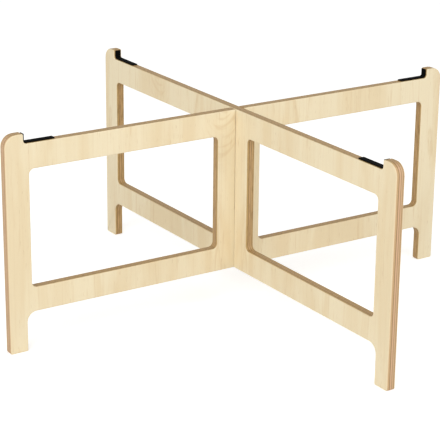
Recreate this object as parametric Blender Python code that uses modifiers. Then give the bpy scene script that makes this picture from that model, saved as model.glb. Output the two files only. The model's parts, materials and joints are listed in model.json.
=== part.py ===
"""Cross stand that holds a box drum off the floor.

Two plywood panels of one outline stand on edge and cross at a half-lap joint. The lower panel's slot is
open at the top and the upper panel's slot is open at the bottom, so the upper panel lifts off. A prong at
each end keeps the drum in place, and a soft strip lines each notch where the drum rests.

Metres, +Z up. The origin is on the floor under the cross joint. The lower panel runs along X and the
upper panel along Y.
"""

from math import acos, cos, pi, radians, sin, tan

import bmesh
import bpy
from mathutils import Vector

# Panel: overall sizes
PANEL_LENGTH = 0.800
BOARD_THICKNESS = 0.015
SEAT_HEIGHT = 0.320
PRONG_RISE = 0.015

# Panel: widths of its members, each across its own length
PRONG_WIDTH = 0.030
LEG_WIDTH = 0.038
FOOT_WIDTH = 0.029
CENTRE_POST_WIDTH = 0.078
TOP_RAIL_DEPTH = 0.039
BOTTOM_RAIL_DEPTH = 0.038
ARCH_HEIGHT = 0.061

# Panel: corner radii of the outline, and the eased edge along both faces
SHOULDER_RADIUS = 0.018
PRONG_TIP_RADIUS = 0.0025
NOTCH_RADIUS = 0.005
WINDOW_RADIUS = 0.008
ARCH_RADIUS = 0.015
FOOT_CORNER_RADIUS = 0.0025
EDGE_ROUND = 0.0015

# Cross joint: where the two slots meet, and the play on each side and at the slots' ends
LAP_HEIGHT = 0.160
SLOT_PLAY = 0.0007
SLOT_END_GAP = 0.0004

# Cushioning strips
STRIP_WIDTH = 0.010
STRIP_THICKNESS = 0.0018
STRIP_BELOW_TIP = 0.0008
LOWER_STRIP_RUN = 0.051
UPPER_STRIP_RUN = 0.058
GLUE_LINE = 0.0003

# Modelling
STEPS_PER_QUARTER = 6
EDGE_SEGMENTS = 2
WELD_DISTANCE = 0.00001
FLAT_ANGLE = radians(1)

# Plan angle of each panel, turned about +Z from the X axis
QUARTER_TURN = pi / 2
HALF_TURN = pi
LOWER_PANEL_ANGLE = 0.0
UPPER_PANEL_ANGLE = QUARTER_TURN

# Linear colours
VENEER_COLOUR = (0.82, 0.68, 0.44, 1.0)
STRIP_COLOUR = (0.006, 0.006, 0.006, 1.0)

HALF_LENGTH = PANEL_LENGTH / 2
PRONG_TOP = SEAT_HEIGHT + PRONG_RISE
PRONG_FACE = HALF_LENGTH - PRONG_WIDTH
SLOT_SIDE = BOARD_THICKNESS / 2 + SLOT_PLAY


def clear_scene():
    """Remove every object that the file already holds."""
    for old in list(bpy.data.objects):
        bpy.data.objects.remove(old, do_unlink=True)


def new_collection(name):
    """Link a collection with this name to the scene."""
    collection = bpy.data.collections.new(name)
    bpy.context.scene.collection.children.link(collection)
    return collection


def finish_material(name, colour, roughness):
    """Make a plain Principled material."""
    material = bpy.data.materials.new(name)
    material.use_nodes = True
    shader = material.node_tree.nodes["Principled BSDF"]
    shader.inputs["Base Color"].default_value = colour
    shader.inputs["Roughness"].default_value = roughness
    shader.inputs["Metallic"].default_value = 0.0
    return material


def rounded_outline(corners):
    """Points of a closed outline whose corners, given as (x, y, radius), are rounded by tangent arcs."""
    points = []
    for index, (x, y, radius) in enumerate(corners):
        corner = Vector((x, y))
        to_last = (Vector(corners[index - 1][:2]) - corner).normalized()
        to_next = (Vector(corners[(index + 1) % len(corners)][:2]) - corner).normalized()
        if radius <= 0:
            points.append(corner)
            continue
        half_angle = acos(max(-1.0, min(1.0, to_last.dot(to_next)))) / 2
        centre = corner + (to_last + to_next).normalized() * radius / sin(half_angle)
        start = corner + to_last * radius / tan(half_angle) - centre
        sweep = pi - 2 * half_angle
        if to_last.cross(to_next) > 0:
            sweep = -sweep
        steps = max(2, round(abs(sweep) / QUARTER_TURN * STEPS_PER_QUARTER))
        for step in range(steps + 1):
            turn = sweep * step / steps
            points.append(centre + Vector((start.x * cos(turn) - start.y * sin(turn),
                                           start.x * sin(turn) + start.y * cos(turn))))
    return points


def flat_curve(name, outlines, thickness):
    """Make a filled 2D curve from closed outlines, extruded to this thickness about its own plane."""
    data = bpy.data.curves.new(name, "CURVE")
    data.dimensions = "2D"
    data.fill_mode = "BOTH"
    data.extrude = thickness / 2
    for outline in outlines:
        spline = data.splines.new("POLY")
        spline.points.add(len(outline) - 1)
        for point, place in zip(spline.points, outline):
            point.co = (place.x, place.y, 0.0, 1.0)
        spline.use_cyclic_u = True
    curve = bpy.data.objects.new(name, data)
    bpy.context.scene.collection.objects.link(curve)
    return curve


def curve_to_mesh(curve):
    """Turn a flat curve into a mesh whose caps are welded to its walls, and remove the curve."""
    bpy.context.view_layer.update()
    evaluated = curve.evaluated_get(bpy.context.evaluated_depsgraph_get())
    mesh = bpy.data.meshes.new_from_object(evaluated)
    mesh.name = curve.name
    bpy.data.objects.remove(curve, do_unlink=True)
    body = bmesh.new()
    body.from_mesh(mesh)
    bmesh.ops.remove_doubles(body, verts=body.verts, dist=WELD_DISTANCE)
    bmesh.ops.dissolve_limit(body, angle_limit=FLAT_ANGLE, verts=body.verts, edges=body.edges)
    bmesh.ops.recalc_face_normals(body, faces=body.faces)
    body.to_mesh(mesh)
    body.free()
    return mesh


def slot_corners(mouth, end):
    """Square corners of a slot, from right to left, between the heights of its mouth and its closed end."""
    return [(SLOT_SIDE, mouth, 0.0), (SLOT_SIDE, end, 0.0), (-SLOT_SIDE, end, 0.0), (-SLOT_SIDE, mouth, 0.0)]


def panel_outlines(top_slot=(), bottom_slot=()):
    """Outer outline and the two windows of a panel, in the panel's own plane, with a slot cut from one side."""
    right_half = [
        (HALF_LENGTH - FOOT_WIDTH, ARCH_HEIGHT, ARCH_RADIUS),
        (HALF_LENGTH - FOOT_WIDTH, 0.0, FOOT_CORNER_RADIUS),
        (HALF_LENGTH, 0.0, FOOT_CORNER_RADIUS),
        (HALF_LENGTH, PRONG_TOP, SHOULDER_RADIUS),
        (PRONG_FACE, PRONG_TOP, PRONG_TIP_RADIUS),
        (PRONG_FACE, SEAT_HEIGHT, NOTCH_RADIUS),
    ]
    left_half = [(-x, y, radius) for x, y, radius in reversed(right_half)]
    corners = [*right_half, *top_slot, *left_half, *reversed(bottom_slot)]

    window_sill = ARCH_HEIGHT + BOTTOM_RAIL_DEPTH
    window_head = SEAT_HEIGHT - TOP_RAIL_DEPTH
    post_side = CENTRE_POST_WIDTH / 2
    leg_side = HALF_LENGTH - LEG_WIDTH
    outlines = [rounded_outline(corners)]
    for left, right in ((post_side, leg_side), (-leg_side, -post_side)):
        outlines.append(rounded_outline([
            (left, window_sill, WINDOW_RADIUS),
            (right, window_sill, WINDOW_RADIUS),
            (right, window_head, WINDOW_RADIUS),
            (left, window_head, WINDOW_RADIUS),
        ]))
    return outlines


def strip_outline(run):
    """Outline of a strip along the rail and up the prong at a panel's right end."""
    rail_side = SEAT_HEIGHT + GLUE_LINE
    prong_side = PRONG_FACE - GLUE_LINE
    rail_end = PRONG_FACE - run
    top = PRONG_TOP - STRIP_BELOW_TIP
    outer_radius = max(NOTCH_RADIUS - GLUE_LINE, 0.0)
    inner_radius = max(outer_radius - STRIP_THICKNESS, 0.0)
    return rounded_outline([
        (rail_end, rail_side, 0.0),
        (prong_side, rail_side, outer_radius),
        (prong_side, top, 0.0),
        (prong_side - STRIP_THICKNESS, top, 0.0),
        (prong_side - STRIP_THICKNESS, rail_side + STRIP_THICKNESS, inner_radius),
        (rail_end, rail_side + STRIP_THICKNESS, 0.0),
    ])


def place_on_edge(piece, parent, angle):
    """Stand a flat piece upright, turn it in plan and hang it on its assembly's empty."""
    piece.parent = parent
    piece.rotation_euler = (QUARTER_TURN, 0.0, angle)


def mark_eased_edges(mesh):
    """Give full bevel weight to the outline's edges on both faces. A slot's own edges stay square."""
    body = bmesh.new()
    body.from_mesh(mesh)
    weight = body.edges.layers.float.new("bevel_weight_edge")
    for edge in body.edges:
        along_face = abs(edge.verts[0].co.z - edge.verts[1].co.z) < WELD_DISTANCE
        square = edge.calc_face_angle() > QUARTER_TURN / 2
        in_slot = all(abs(vert.co.x) < SLOT_SIDE + WELD_DISTANCE for vert in edge.verts)
        if along_face and square and not in_slot:
            edge[weight] = 1.0
    body.to_mesh(mesh)
    body.free()


def make_panel(name, outlines, parent, angle, parts):
    """One panel, cut from the board by its outlines, with the edges along both faces eased."""
    mesh = curve_to_mesh(flat_curve(name, outlines, BOARD_THICKNESS))
    mark_eased_edges(mesh)
    panel = bpy.data.objects.new(name, mesh)
    parts.objects.link(panel)
    place_on_edge(panel, parent, angle)
    mesh.materials.append(finish_material(name + "_plywood", VENEER_COLOUR, 0.5))

    ease = panel.modifiers.new("eased edges", "BEVEL")
    ease.width = EDGE_ROUND
    ease.segments = EDGE_SEGMENTS
    ease.limit_method = "WEIGHT"
    ease.use_clamp_overlap = False
    return panel


def make_strip(name, run, parent, angle, parts):
    """One cushioning strip, as a flat L that follows the notch's rounded inner corner."""
    mesh = curve_to_mesh(flat_curve(name, [strip_outline(run)], STRIP_WIDTH))
    strip = bpy.data.objects.new(name, mesh)
    parts.objects.link(strip)
    place_on_edge(strip, parent, angle)
    mesh.materials.append(finish_material(name + "_foam", STRIP_COLOUR, 0.95))
    return strip


def make_assembly(name, parts):
    """Empty on the vertical axis of the cross joint, along which the upper panel lifts off."""
    empty = bpy.data.objects.new(name, None)
    parts.objects.link(empty)
    return empty


def main():
    """Build both panels and their strips."""
    clear_scene()
    parts = new_collection("cajon_stand")
    lower = make_assembly("lower_assembly", parts)
    upper = make_assembly("upper_assembly", parts)

    lower_slot = slot_corners(SEAT_HEIGHT, LAP_HEIGHT)
    upper_slot = slot_corners(ARCH_HEIGHT, LAP_HEIGHT + SLOT_END_GAP)
    make_panel("lower_panel", panel_outlines(top_slot=lower_slot), lower, LOWER_PANEL_ANGLE, parts)
    make_panel("upper_panel", panel_outlines(bottom_slot=upper_slot), upper, UPPER_PANEL_ANGLE, parts)

    make_strip("lower_strip_right", LOWER_STRIP_RUN, lower, LOWER_PANEL_ANGLE, parts)
    make_strip("lower_strip_left", LOWER_STRIP_RUN, lower, LOWER_PANEL_ANGLE + HALF_TURN, parts)
    make_strip("upper_strip_back", UPPER_STRIP_RUN, upper, UPPER_PANEL_ANGLE, parts)
    make_strip("upper_strip_front", UPPER_STRIP_RUN, upper, UPPER_PANEL_ANGLE + HALF_TURN, parts)
    bpy.context.view_layer.update()


main()
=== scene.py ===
"""Looks of the cross stand: two plywood boards and four black foam strips in a plain white studio.

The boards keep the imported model's shape and take a plywood finish. Each foam strip is modelled here, swept
along its notch, in the place of its plain solid.
"""

import json
import logging
from dataclasses import dataclass
from enum import Enum
from math import copysign, cos, radians, sin
from typing import ClassVar

import bpy
from mathutils import Color, Matrix, Vector


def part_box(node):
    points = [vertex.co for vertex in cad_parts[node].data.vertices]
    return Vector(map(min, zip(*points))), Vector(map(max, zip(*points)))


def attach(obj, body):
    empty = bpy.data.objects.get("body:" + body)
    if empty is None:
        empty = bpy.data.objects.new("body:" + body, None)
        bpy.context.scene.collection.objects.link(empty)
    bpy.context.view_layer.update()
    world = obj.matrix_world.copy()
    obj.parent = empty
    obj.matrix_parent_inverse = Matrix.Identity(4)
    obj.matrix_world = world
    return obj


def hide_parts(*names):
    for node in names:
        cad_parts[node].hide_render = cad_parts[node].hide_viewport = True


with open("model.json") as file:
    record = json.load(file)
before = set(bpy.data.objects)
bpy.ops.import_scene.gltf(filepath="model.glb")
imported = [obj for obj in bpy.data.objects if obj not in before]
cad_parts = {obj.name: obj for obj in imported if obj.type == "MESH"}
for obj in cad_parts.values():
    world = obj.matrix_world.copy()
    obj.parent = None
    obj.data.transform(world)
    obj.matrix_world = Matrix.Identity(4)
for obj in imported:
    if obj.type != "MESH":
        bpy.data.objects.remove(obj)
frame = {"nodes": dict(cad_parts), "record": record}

LOG = logging.getLogger("cross_stand")

Linear = tuple[float, float, float, float]
Triple = tuple[float, float, float]
Socket = bpy.types.NodeSocket
Inputs = dict[str | int, object]

WHITE: Linear = (1.0, 1.0, 1.0, 1.0)
UP = Vector((0.0, 0.0, 1.0))

# Places of the Mix node's share, of its two colours and of the colour that it makes
MIX_SHARE, MIX_FIRST, MIX_SECOND, MIX_RESULT = 0, 6, 7, 2


def linear(red: int, green: int, blue: int) -> Linear:
    """Linear colour of a display colour.

    Args:
        red: Red, from 0 to 255.
        green: Green, from 0 to 255.
        blue: Blue, from 0 to 255.

    Returns:
        The colour as shaders take it, with full opacity.
    """
    shown = Color((red / 255, green / 255, blue / 255))
    return (*shown.from_srgb_to_scene_linear(), 1.0)


class Run(Enum):
    """Which way a board runs in plan."""

    ALONG_X = "X"
    ALONG_Y = "Y"


class Wiring:
    """Short ways to add and join nodes in one tree."""

    def __init__(self, tree: bpy.types.NodeTree) -> None:
        """Work in this node tree."""
        self.tree = tree

    def node(self, kind: str, inputs: Inputs | None = None, **settings: object) -> bpy.types.Node:
        """Add a node.

        Args:
            kind: The node's type.
            inputs: What feeds its inputs, by their names or their places.
            settings: Values of the node's own properties.

        Returns:
            The new node.
        """
        made = self.tree.nodes.new(kind)
        for name, value in settings.items():
            setattr(made, name, value)
        for key, value in (inputs or {}).items():
            self.feed(made.inputs[key], value)
        return made

    def feed(self, target: Socket, value: object) -> None:
        """Join a socket to an input, or set the input's value.

        Args:
            target: The input.
            value: A socket, or a plain value.
        """
        if isinstance(value, Socket):
            self.tree.links.new(value, target)
        else:
            target.default_value = value

    def math(self, operation: str, *values: object) -> Socket:
        """Result of one sum on sockets or numbers, in order."""
        return self.node("ShaderNodeMath", dict(enumerate(values)), operation=operation).outputs[0]

    def stretch(self, vector: Socket, scale: Triple) -> Socket:
        """Scale a vector axis by axis."""
        return self.node("ShaderNodeVectorMath", {0: vector, 1: scale}, operation="MULTIPLY").outputs[0]

    def ease(self, value: Socket, low: float, high: float) -> Socket:
        """Smooth step of a value, from 0 at low to 1 at high."""
        limits = {"Value": value, "From Min": low, "From Max": high}
        return self.node("ShaderNodeMapRange", limits, interpolation_type="SMOOTHSTEP").outputs["Result"]

    def noise(self, vector: Socket, detail: float = 4.0, distortion: float = 0.0) -> Socket:
        """Noise of one cell a unit, from 0 to 1."""
        inputs = {"Vector": vector, "Scale": 1.0, "Detail": detail, "Distortion": distortion}
        return self.node("ShaderNodeTexNoise", inputs).outputs["Fac"]

    def bump(self, height: Socket, distance: float, strength: float) -> Socket:
        """Normal that follows a height, for a relief this deep in metres."""
        inputs = {"Height": height, "Distance": distance, "Strength": strength}
        return self.node("ShaderNodeBump", inputs).outputs["Normal"]

    def blend(self, share: object, first: object, second: object, mode: str = "MIX") -> Socket:
        """Mix two colours.

        Args:
            share: How much of the second, from 0 to 1.
            first: A colour or a socket.
            second: A colour or a socket.
            mode: The Mix node's blend type.

        Returns:
            The mixed colour.
        """
        inputs = {MIX_SHARE: share, MIX_FIRST: first, MIX_SECOND: second}
        return self.node("ShaderNodeMix", inputs, data_type="RGBA", blend_type=mode).outputs[MIX_RESULT]

    def seen(self) -> Socket:
        """Tell what is looked at from what only gives light.

        Returns:
            1 for a ray of the camera, of a reflection or through glass, and 0 for any other.
        """
        rays = self.node("ShaderNodeLightPath").outputs
        seen = self.math("MAXIMUM", rays["Is Camera Ray"], rays["Is Glossy Ray"])
        return self.math("MAXIMUM", seen, rays["Is Transmission Ray"])


def new_finish(name: str) -> tuple[bpy.types.Material, bpy.types.Node, Wiring]:
    """Make an empty Principled material.

    Args:
        name: The material's name.

    Returns:
        The material, its shader and the wiring of its tree.
    """
    material = bpy.data.materials.new(name)
    material.use_nodes = True
    return material, material.node_tree.nodes["Principled BSDF"], Wiring(material.node_tree)


@dataclass(frozen=True)
class BoardPoint:
    """The point that is shaded, in a board's own axes.

    Attributes:
        along: Its place along the board.
        across: Its place across the thickness.
        up: Its height.
        place: All three in that order.
    """

    along: Socket
    across: Socket
    up: Socket
    place: Socket

    @classmethod
    def read(cls, wires: Wiring, run: Run) -> "BoardPoint":
        """Read the point.

        Args:
            wires: The material's wiring.
            run: Which way the board runs.

        Returns:
            The point.
        """
        given = wires.node("ShaderNodeTexCoord").outputs["Object"]
        along, across, up = wires.node("ShaderNodeSeparateXYZ", {0: given}).outputs
        if run is Run.ALONG_Y:
            along, across = across, along
        place = wires.node("ShaderNodeCombineXYZ", {0: along, 1: across, 2: up}).outputs[0]
        return cls(along, across, up, place)


@dataclass(frozen=True)
class Grain:
    """One pattern of streaks or flecks in the wood.

    Attributes:
        cells: Cells a metre along the board, across it and upright.
        start: Noise value at which it starts to show.
        full: Noise value from which it shows in full.
        strength: Its share of the colour where it shows in full.
        detail: Levels of finer noise in it.
        distortion: How far it bends.
    """

    cells: Triple
    start: float
    full: float
    strength: float = 1.0
    detail: float = 3.0
    distortion: float = 0.0

    def share(self, wires: Wiring, point: BoardPoint) -> Socket:
        """Share of the colour that the grain takes at a point."""
        noise = wires.noise(wires.stretch(point.place, self.cells), self.detail, self.distortion)
        return wires.math("MULTIPLY", wires.ease(noise, self.start, self.full), self.strength)


@dataclass(frozen=True)
class Loops:
    """The figure of a rotary-cut face: nested loops, open at the top, round one upright line.

    Attributes:
        rise: How far a loop rises away from the line, in metres for a square metre of offset.
        loop_cells: Cells a metre from loop to loop.
        side_cells: Cells a metre sideways.
        detail: Levels of finer noise in the loops.
        start: Noise value at which a loop starts to show.
        full: Noise value from which it shows in full.
        strength: Its share of the colour where it shows in full.
        core: Offset from the line up to which the loops are in full.
        reach: Offset at which they have faded out.
        low: Height at which they start to show.
        high: Height from which they show in full.
    """

    rise: float = 30.0
    loop_cells: float = 90.0
    side_cells: float = 28.0
    detail: float = 2.0
    start: float = 0.46
    full: float = 0.66
    strength: float = 0.45
    core: float = 0.010
    reach: float = 0.050
    low: float = 0.20
    high: float = 0.27

    def share(self, wires: Wiring, point: BoardPoint, line: float) -> Socket:
        """Share of the colour that the loops take at a point.

        Args:
            wires: The material's wiring.
            point: The point.
            line: Place along the board of the upright line.

        Returns:
            The share, from 0 to the strength.
        """
        offset = wires.math("SUBTRACT", point.along, line)
        risen = wires.math("MULTIPLY", wires.math("POWER", offset, 2.0), self.rise)
        foot = wires.math("MULTIPLY", wires.math("SUBTRACT", point.up, risen), self.loop_cells)
        side = wires.math("MULTIPLY", offset, self.side_cells)
        place = wires.node("ShaderNodeCombineXYZ", {0: foot, 1: side}).outputs[0]
        loops = wires.ease(wires.noise(place, self.detail), self.start, self.full)
        beside = wires.ease(wires.math("ABSOLUTE", offset), self.core, self.reach)
        raised = wires.ease(point.up, self.low, self.high)
        near = wires.math("MULTIPLY", wires.math("SUBTRACT", 1.0, beside), raised)
        return wires.math("MULTIPLY", wires.math("MULTIPLY", loops, near), self.strength)


@dataclass(frozen=True)
class Veneer:
    """Pale rotary-cut veneer, whose grain stands upright on both faces of a board.

    Attributes:
        light: Its palest colour.
        mid: Its colour in the clouds.
        dark: Its colour in the bends, the streaks and the loops.
        fleck: Its colour in the ticks.
        clouds: Broad soft changes of colour.
        bends: Bent upright bands, about 15 cm long.
        streaks: Fine streaks, about 20 cm long.
        ticks: Fine flecks, about 15 mm long.
        loops: The nested loops.
    """

    light: Linear = linear(245, 230, 196)
    mid: Linear = linear(238, 218, 179)
    dark: Linear = linear(224, 197, 152)
    fleck: Linear = linear(196, 163, 112)
    clouds: Grain = Grain((17.0, 17.0, 3.0), 0.36, 0.66, distortion=1.1)
    bends: Grain = Grain((75.0, 75.0, 6.0), 0.60, 0.72, 0.45, detail=2.0, distortion=1.6)
    streaks: Grain = Grain((260.0, 260.0, 5.0), 0.50, 0.80, 0.34, detail=5.0)
    ticks: Grain = Grain((700.0, 700.0, 70.0), 0.66, 0.78, 0.28, detail=1.0)
    loops: Loops = Loops()

    def colour(self, wires: Wiring, point: BoardPoint, loops_at: float) -> Socket:
        """Colour of the veneer.

        Args:
            wires: The material's wiring.
            point: The point that is shaded.
            loops_at: Place along the board of the nested loops.

        Returns:
            The colour.
        """
        colour = wires.blend(self.clouds.share(wires, point), self.light, self.mid)
        colour = wires.blend(self.bends.share(wires, point), colour, self.dark)
        colour = wires.blend(self.streaks.share(wires, point), colour, self.dark)
        colour = wires.blend(self.loops.share(wires, point, loops_at), colour, self.dark)
        return wires.blend(self.ticks.share(wires, point), colour, self.fleck)


@dataclass(frozen=True)
class Ply:
    """One band of the board's edge.

    Attributes:
        start: Where it starts, as a share of the thickness from the board's negative side.
        colour: Its colour.
    """

    start: float
    colour: Linear


@dataclass(frozen=True)
class SawnEdge:
    """The bonded plies along every edge, with the short dark dashes that the saw leaves.

    Attributes:
        plies: The bands, from one face to the other.
        blur: Share of the thickness over which one band turns into the next.
        wave_cells: Cells a metre of the bands' waves.
        wave: Height of those waves, as a share of the thickness.
        dash: Colour of the dashes.
        dashes: Their pattern.
        dashes_off_ends: Share of them that is missing at the board's two ends.
        inner_tint: Tint of every edge but those two ends.
        painted_top_shade: Painted shade: a further darkening of an edge that faces up, against the light from
            above.
        tilted: Upward part of the normal at which that tint starts.
        level: Upward part of the normal from which it is full.
    """

    plies: tuple[Ply, ...] = (
        Ply(0.00, linear(226, 196, 156)),
        Ply(0.10, linear(208, 172, 126)),
        Ply(0.29, linear(128, 94, 56)),
        Ply(0.345, linear(216, 178, 140)),
        Ply(0.55, linear(146, 110, 70)),
        Ply(0.59, linear(212, 176, 136)),
        Ply(0.77, linear(150, 114, 74)),
        Ply(0.81, linear(204, 168, 122)),
        Ply(0.91, linear(226, 196, 156)),
    )
    blur: float = 0.02
    wave_cells: Triple = (30.0, 0.0, 30.0)
    wave: float = 0.06
    dash: Linear = linear(132, 100, 62)
    dashes: Grain = Grain((170.0, 600.0, 60.0), 0.46, 0.70, 0.50)
    dashes_off_ends: float = 0.8
    inner_tint: Linear = linear(238, 236, 212)
    # Painted shade on the edges that face up
    painted_top_shade: Linear = linear(236, 236, 228)
    tilted: float = 0.6
    level: float = 0.95

    def band(self, wires: Wiring, point: BoardPoint, thickness: float) -> Socket:
        """Colour of the ply at a point.

        Args:
            wires: The material's wiring.
            point: The point.
            thickness: The board's thickness.

        Returns:
            The colour.
        """
        wave = wires.math("SUBTRACT", wires.noise(wires.stretch(point.place, self.wave_cells)), 0.5)
        share = wires.math("ADD", wires.math("DIVIDE", point.across, thickness), 0.5)
        share = wires.math("ADD", share, wires.math("MULTIPLY", wave, self.wave))
        bands = wires.node("ShaderNodeValToRGB", {"Fac": share})

        stops = []
        for ply, end in zip(self.plies, [following.start for following in self.plies[1:]] + [1.0]):
            stops += [(ply.start + self.blur, ply.colour), (end, ply.colour)]
        elements = bands.color_ramp.elements
        while len(elements) < len(stops):
            elements.new(1.0)
        for element, (position, colour) in zip(elements, stops):
            element.position = position
            element.color = colour
        return bands.outputs["Color"]

    def colour(self, wires: Wiring, point: BoardPoint, thickness: float, at_end: Socket) -> Socket:
        """Colour of the edge.

        Args:
            wires: The material's wiring.
            point: The point that is shaded.
            thickness: The board's thickness.
            at_end: 1 at the board's two ends, and 0 elsewhere.

        Returns:
            The colour.
        """
        kept = wires.math("SUBTRACT", 1.0, wires.math("MULTIPLY", at_end, self.dashes_off_ends))
        dashes = wires.math("MULTIPLY", self.dashes.share(wires, point), kept)
        colour = wires.blend(dashes, self.band(wires, point, thickness), self.dash)
        colour = wires.blend(at_end, wires.blend(1.0, colour, self.inner_tint, "MULTIPLY"), colour)

        # Painted shade: edges that face up are darkened, to offset the light that falls on them from above.
        normal = wires.node("ShaderNodeNewGeometry").outputs["Normal"]
        upward = wires.node("ShaderNodeSeparateXYZ", {0: normal}).outputs[2]
        top = wires.blend(1.0, colour, self.painted_top_shade, "MULTIPLY")
        return wires.blend(wires.ease(upward, self.tilted, self.level), colour, top)


@dataclass(frozen=True)
class Board:
    """One of the two crossed boards.

    Attributes:
        node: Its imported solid.
        run: Which way it runs.
        loops_at: Place along it of the nested loops in its faces.
    """

    node: str
    run: Run
    loops_at: float


@dataclass(frozen=True)
class Plywood:
    """Plywood of one board: veneer on both faces, and the bonded plies along every edge.

    Attributes:
        veneer: The faces.
        edge: The edges.
        edge_until: Share of the way from mid thickness to a face at which the edge's colour ends.
        face_from: Share of that way from which the face's colour is full.
        end_from: Distance from a board's end at which the end's look starts.
        end_full: Distance from it at which that look is full.
        roughness: How matte the wood is.
        specular: Its shine.
        pore_cells: Pores a metre along the board, across it and upright.
        pore_depth: Depth of the pores.
        pore_strength: How strongly they show.
    """

    veneer: Veneer = Veneer()
    edge: SawnEdge = SawnEdge()
    edge_until: float = 0.82
    face_from: float = 0.92
    end_from: float = 0.022
    end_full: float = 0.004
    roughness: float = 0.5
    specular: float = 0.3
    pore_cells: Triple = (900.0, 900.0, 45.0)
    pore_depth: float = 0.0002
    pore_strength: float = 0.25

    def material(self, board: Board, length: float, thickness: float) -> bpy.types.Material:
        """Make the finish of a board.

        Args:
            board: The board.
            length: Its length.
            thickness: Its thickness.

        Returns:
            The material.
        """
        material, shader, wires = new_finish(board.node + "_plywood")
        point = BoardPoint.read(wires, board.run)
        half = length / 2
        at_end = wires.ease(wires.math("ABSOLUTE", point.along), half - self.end_from, half - self.end_full)
        edge = self.edge.colour(wires, point, thickness, at_end)
        face = self.veneer.colour(wires, point, board.loops_at)
        depth = wires.math("DIVIDE", wires.math("ABSOLUTE", point.across), thickness / 2)
        pores = wires.noise(wires.stretch(point.place, self.pore_cells))
        wires.feed(shader.inputs["Base Color"],
                   wires.blend(wires.ease(depth, self.edge_until, self.face_from), edge, face))
        wires.feed(shader.inputs["Roughness"], self.roughness)
        wires.feed(shader.inputs["Specular IOR Level"], self.specular)
        wires.feed(shader.inputs["Normal"], wires.bump(pores, self.pore_depth, self.pore_strength))
        return material


@dataclass
class Boards:
    """The two crossed boards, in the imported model's own shape."""

    finish: Plywood
    boards: tuple[Board, ...] = (
        Board("lower_panel", Run.ALONG_X, -0.030),
        Board("upper_panel", Run.ALONG_Y, 0.220),
    )

    def dress(self) -> None:
        """Give each board its plywood."""
        for board in self.boards:
            low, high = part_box(board.node)
            size = high - low
            thickness = min(size.x, size.y)
            materials = frame["nodes"][board.node].data.materials
            materials.clear()
            materials.append(self.finish.material(board, max(size.x, size.y), thickness))
            LOG.info("%s: plywood %.1f mm thick", board.node, thickness * 1000)


@dataclass(frozen=True)
class Foam:
    """Matte black closed-cell foam.

    Attributes:
        dark: Colour in the cells' hollows: painted shade, darker where the relief is low.
        light: Colour of their walls.
        cells: Cells a metre each way.
        detail: Levels of finer cells.
        relief: Depth of the cells.
        relief_strength: How strongly they show.
        roughness: How matte the foam is.
        specular: Its shine.
    """

    # Painted shade in the cells' hollows
    dark: Linear = (0.0012, 0.0012, 0.0012, 1.0)
    light: Linear = (0.0045, 0.0045, 0.0048, 1.0)
    cells: float = 2200.0
    detail: float = 3.0
    relief: float = 0.0002
    relief_strength: float = 0.5
    roughness: float = 0.92
    specular: float = 0.05

    def material(self) -> bpy.types.Material:
        """Make the finish.

        Returns:
            The material.
        """
        material, shader, wires = new_finish("black_foam")
        place = wires.node("ShaderNodeTexCoord").outputs["Object"]
        cells = wires.noise(wires.stretch(place, (self.cells, self.cells, self.cells)), self.detail)
        # Painted shade: the cells' hollows, low in the same noise that drives the relief, are darker.
        wires.feed(shader.inputs["Base Color"], wires.blend(cells, self.dark, self.light))
        wires.feed(shader.inputs["Roughness"], self.roughness)
        wires.feed(shader.inputs["Specular IOR Level"], self.specular)
        wires.feed(shader.inputs["Normal"], wires.bump(cells, self.relief, self.relief_strength))
        return material


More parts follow.
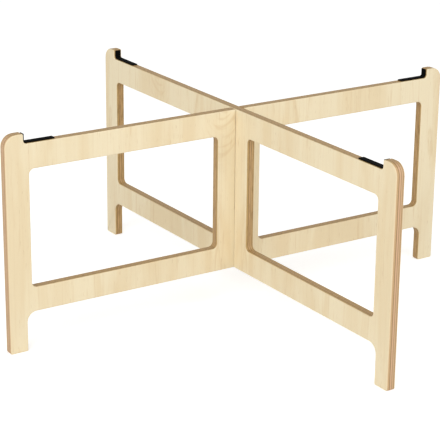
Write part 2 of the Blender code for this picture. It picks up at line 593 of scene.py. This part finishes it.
@dataclass
class FoamStrips:
    """The four strips, each swept along the rail and up the prong of its notch.

    Attributes:
        finish: The foam.
        thickness: Thickness of a strip.
        bend_radius: Radius of the path at the notch's inner corner.
        bend_steps: Steps round that bend.
        edge_radius: Radius of the long edges.
        edge_steps: Steps round each of them.
        fill: How tight the foam is, from 0 to 1; not used.
        sizes: Names of the sizes that the sweep takes.
    """

    finish: Foam
    thickness: float = 0.0018
    bend_radius: float = 0.0038
    bend_steps: int = 8
    edge_radius: float = 0.0006
    edge_steps: int = 3
    fill: float = 0.9
    sizes: ClassVar[tuple[str, ...]] = ("Width", "Thickness", "Bend radius", "Edge radius")

    def tree(self) -> bpy.types.NodeTree:
        """Build the sweep: a path, rounded at its bend, carries a flat section with eased edges.

        Returns:
            The sweep's tree.
        """
        tree = bpy.data.node_groups.new("foam strip", "GeometryNodeTree")
        tree.interface.new_socket("Path", in_out="INPUT", socket_type="NodeSocketGeometry")
        for name in self.sizes:
            tree.interface.new_socket(name, in_out="INPUT", socket_type="NodeSocketFloat")
        tree.interface.new_socket("Foam", in_out="INPUT", socket_type="NodeSocketMaterial")
        tree.interface.new_socket("Strip", in_out="OUTPUT", socket_type="NodeSocketGeometry")
        wires = Wiring(tree)
        given = wires.node("NodeGroupInput").outputs

        path = wires.node("GeometryNodeMeshToCurve", {"Mesh": given["Path"]}).outputs["Curve"]
        path = self.filleted(wires, path, given["Bend radius"], self.bend_steps)
        path = wires.node("GeometryNodeSetCurveNormal", {"Curve": path}, mode="Z_UP").outputs["Curve"]
        flat = {"Width": given["Thickness"], "Height": given["Width"]}
        flat = wires.node("GeometryNodeCurvePrimitiveQuadrilateral", flat, mode="RECTANGLE")
        section = self.filleted(wires, flat.outputs["Curve"], given["Edge radius"], self.edge_steps)
        swept = {"Curve": path, "Profile Curve": section, "Fill Caps": True}
        strip = wires.node("GeometryNodeCurveToMesh", swept).outputs["Mesh"]
        strip = wires.node("GeometryNodeRealizeInstances", {"Geometry": strip}).outputs["Geometry"]
        dressed = {"Geometry": strip, "Material": given["Foam"]}
        strip = wires.node("GeometryNodeSetMaterial", dressed).outputs["Geometry"]
        wires.node("NodeGroupOutput", {"Strip": strip})
        return tree

    def filleted(self, wires: Wiring, curve: Socket, radius: Socket, steps: int) -> Socket:
        """Round a curve's corners with this many steps each."""
        inputs = {"Curve": curve, "Count": steps, "Radius": radius, "Limit Radius": True}
        return wires.node("GeometryNodeFilletCurve", inputs, mode="POLY").outputs["Curve"]

    def swept(self, guide: bpy.types.Object, width: float, tree: bpy.types.NodeTree,
              foam: bpy.types.Material) -> bpy.types.Mesh:
        """Sweep a strip along a guide.

        Args:
            guide: An object whose mesh is the path.
            width: The strip's width.
            tree: The sweep's tree.
            foam: The foam's material.

        Returns:
            The strip's mesh.
        """
        sweep = guide.modifiers.new("sweep", "NODES")
        sweep.node_group = tree
        sockets = {item.name: item.identifier for item in tree.interface.items_tree if item.in_out == "INPUT"}
        for name, value in zip(self.sizes, (width, self.thickness, self.bend_radius, self.edge_radius)):
            sweep[sockets[name]] = value
        sweep[sockets["Foam"]] = foam
        bpy.context.view_layer.update()
        return bpy.data.meshes.new_from_object(guide.evaluated_get(bpy.context.evaluated_depsgraph_get()))

    def make(self, node: str, tree: bpy.types.NodeTree, foam: bpy.types.Material) -> bpy.types.Object:
        """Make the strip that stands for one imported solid.

        Args:
            node: The solid's name.
            tree: The sweep's tree.
            foam: The foam's material.

        Returns:
            The strip's object, at the origin.
        """
        low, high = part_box(node)
        centre = (low + high) / 2
        if abs(centre.x) > abs(centre.y):
            outward = Vector((copysign(1.0, centre.x), 0.0, 0.0))
        else:
            outward = Vector((0.0, copysign(1.0, centre.y), 0.0))
        size = high - low
        reach = abs(size.dot(outward))
        start = abs(centre.dot(outward)) - reach / 2
        prong = start + reach - self.thickness / 2
        seat = low.z + self.thickness / 2

        # The path is drawn flat, outward along X and up along Y, and stood up after the sweep
        path = bpy.data.meshes.new(node + "_path")
        path.from_pydata([(start, seat, 0.0), (prong, seat, 0.0), (prong, high.z, 0.0)], [(0, 1), (1, 2)], [])
        guide = bpy.data.objects.new(node + "_guide", path)
        bpy.context.scene.collection.objects.link(guide)
        mesh = self.swept(guide, min(size.x, size.y), tree, foam)
        bpy.data.objects.remove(guide, do_unlink=True)
        mesh.transform(Matrix((outward, UP, outward.cross(UP))).transposed().to_4x4())
        mesh.name = node.replace("_strip", "_foam")
        strip = bpy.data.objects.new(mesh.name, mesh)
        bpy.context.scene.collection.objects.link(strip)
        return strip

    def dress(self) -> None:
        """Make the four strips and let each ride with its panel."""
        tree = self.tree()
        foam = self.finish.material()
        bodies = frame["record"]["behaviour"]["bodies"]
        for body, nodes in bodies.items():
            for node in (name for name in nodes if "strip" in name):
                strip = self.make(node, tree, foam)
                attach(strip, body)
                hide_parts(node)
                LOG.info("%s rides on %s, %d faces", strip.name, body, len(strip.data.polygons))


@dataclass(frozen=True)
class Lamp:
    """A soft square lamp.

    Attributes:
        name: Its name.
        place: Where it stands.
        watts: Its power.
        size: Its side.
    """

    name: str
    place: Triple
    watts: float
    size: float = 2.0

    def hang(self, target: Vector) -> None:
        """Hang the lamp, facing a point.

        Args:
            target: The point.
        """
        data = bpy.data.lights.new(self.name, "AREA")
        data.shape = "SQUARE"
        data.size = self.size
        data.energy = self.watts
        lamp = bpy.data.objects.new(self.name, data)
        bpy.context.scene.collection.objects.link(lamp)
        lamp.location = self.place
        lamp.rotation_euler = (target - Vector(self.place)).to_track_quat("-Z", "Y").to_euler()


@dataclass
class Studio:
    """White surroundings, soft lamps and the camera, for a frame of 440 by 440 pixels.

    Attributes:
        frame_pixels: Width of that frame in pixels.
        sensor: Width of the camera's sensor in millimetres.
        focal_pixels: Focal length in pixels of that frame.
        heading: Plan angle from +X to the direction in which the camera looks.
        elevation: How far above the horizon the camera is.
        roll: Its turn about its own axis.
        distance: From the camera to the point that it looks at.
        target: That point.
        lamps: The lamps, which face the same point.
        sky: Strength of the light from all round.
        floor_size: Side of the floor.
        floor_colour: Its colour.
        floor_roughness: How matte it is.
        floor_glow: Strength of the white that it shows beside what it reflects, and that lights nothing.
    """

    frame_pixels: float = 440.0
    sensor: float = 36.0
    focal_pixels: float = 1697.15
    heading: float = radians(56.741)
    elevation: float = radians(19.131)
    roll: float = radians(0.632)
    distance: float = 2.7122
    target: Triple = (0.0, 0.04506, 0.12346)
    lamps: tuple[Lamp, ...] = (
        Lamp("key", (-2.6, -1.6, 2.4), 50.0),
        Lamp("fill", (0.8, -3.0, 1.8), 23.0),
    )
    sky: float = 0.56
    floor_size: float = 30.0
    floor_colour: Linear = (0.88, 0.88, 0.87, 1.0)
    floor_roughness: float = 0.9
    floor_glow: float = 0.45

    def camera(self) -> None:
        """Place the camera."""
        data = bpy.data.cameras.new("camera")
        data.sensor_width = self.sensor
        data.lens = self.focal_pixels / self.frame_pixels * self.sensor
        camera = bpy.data.objects.new("camera", data)
        bpy.context.scene.collection.objects.link(camera)
        level = cos(self.elevation)
        back = Vector((-level * cos(self.heading), -level * sin(self.heading), sin(self.elevation)))
        right = (-back).cross(UP).normalized()
        up = back.cross(right)
        turned_right = cos(self.roll) * right + sin(self.roll) * up
        turned_up = cos(self.roll) * up - sin(self.roll) * right
        place = Matrix((turned_right, turned_up, back)).transposed().to_4x4()
        place.translation = Vector(self.target) + back * self.distance
        camera.matrix_world = place
        bpy.context.scene.camera = camera

    def surroundings(self) -> None:
        """Light evenly from all round, and show white to the camera and in reflections."""
        world = bpy.data.worlds.new("white surroundings")
        world.use_nodes = True
        bpy.context.scene.world = world
        wires = Wiring(world.node_tree)
        background = world.node_tree.nodes["Background"]
        extra = wires.math("MULTIPLY", wires.seen(), 1.0 - self.sky)
        wires.feed(background.inputs["Color"], WHITE)
        wires.feed(background.inputs["Strength"], wires.math("ADD", self.sky, extra))

    def floor(self) -> None:
        """Lay a white floor that keeps the stand's soft shadow."""
        bpy.ops.mesh.primitive_grid_add(x_subdivisions=2, y_subdivisions=2, size=self.floor_size)
        floor = bpy.context.object
        floor.name = "floor"
        material, shader, wires = new_finish("white_floor")
        wires.feed(shader.inputs["Base Color"], self.floor_colour)
        wires.feed(shader.inputs["Roughness"], self.floor_roughness)
        wires.feed(shader.inputs["Emission Color"], WHITE)
        wires.feed(shader.inputs["Emission Strength"], wires.math("MULTIPLY", wires.seen(), self.floor_glow))
        floor.data.materials.append(material)

    def build(self) -> None:
        """Set the stage."""
        bpy.context.scene.view_settings.view_transform = "Standard"
        self.camera()
        self.surroundings()
        self.floor()
        for lamp in self.lamps:
            lamp.hang(Vector(self.target))


def main() -> None:
    """Set the stage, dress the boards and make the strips."""
    logging.basicConfig(level=logging.INFO)
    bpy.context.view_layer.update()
    Studio().build()
    Boards(Plywood()).dress()
    FoamStrips(Foam()).dress()


if __name__ == "__main__":
    main()
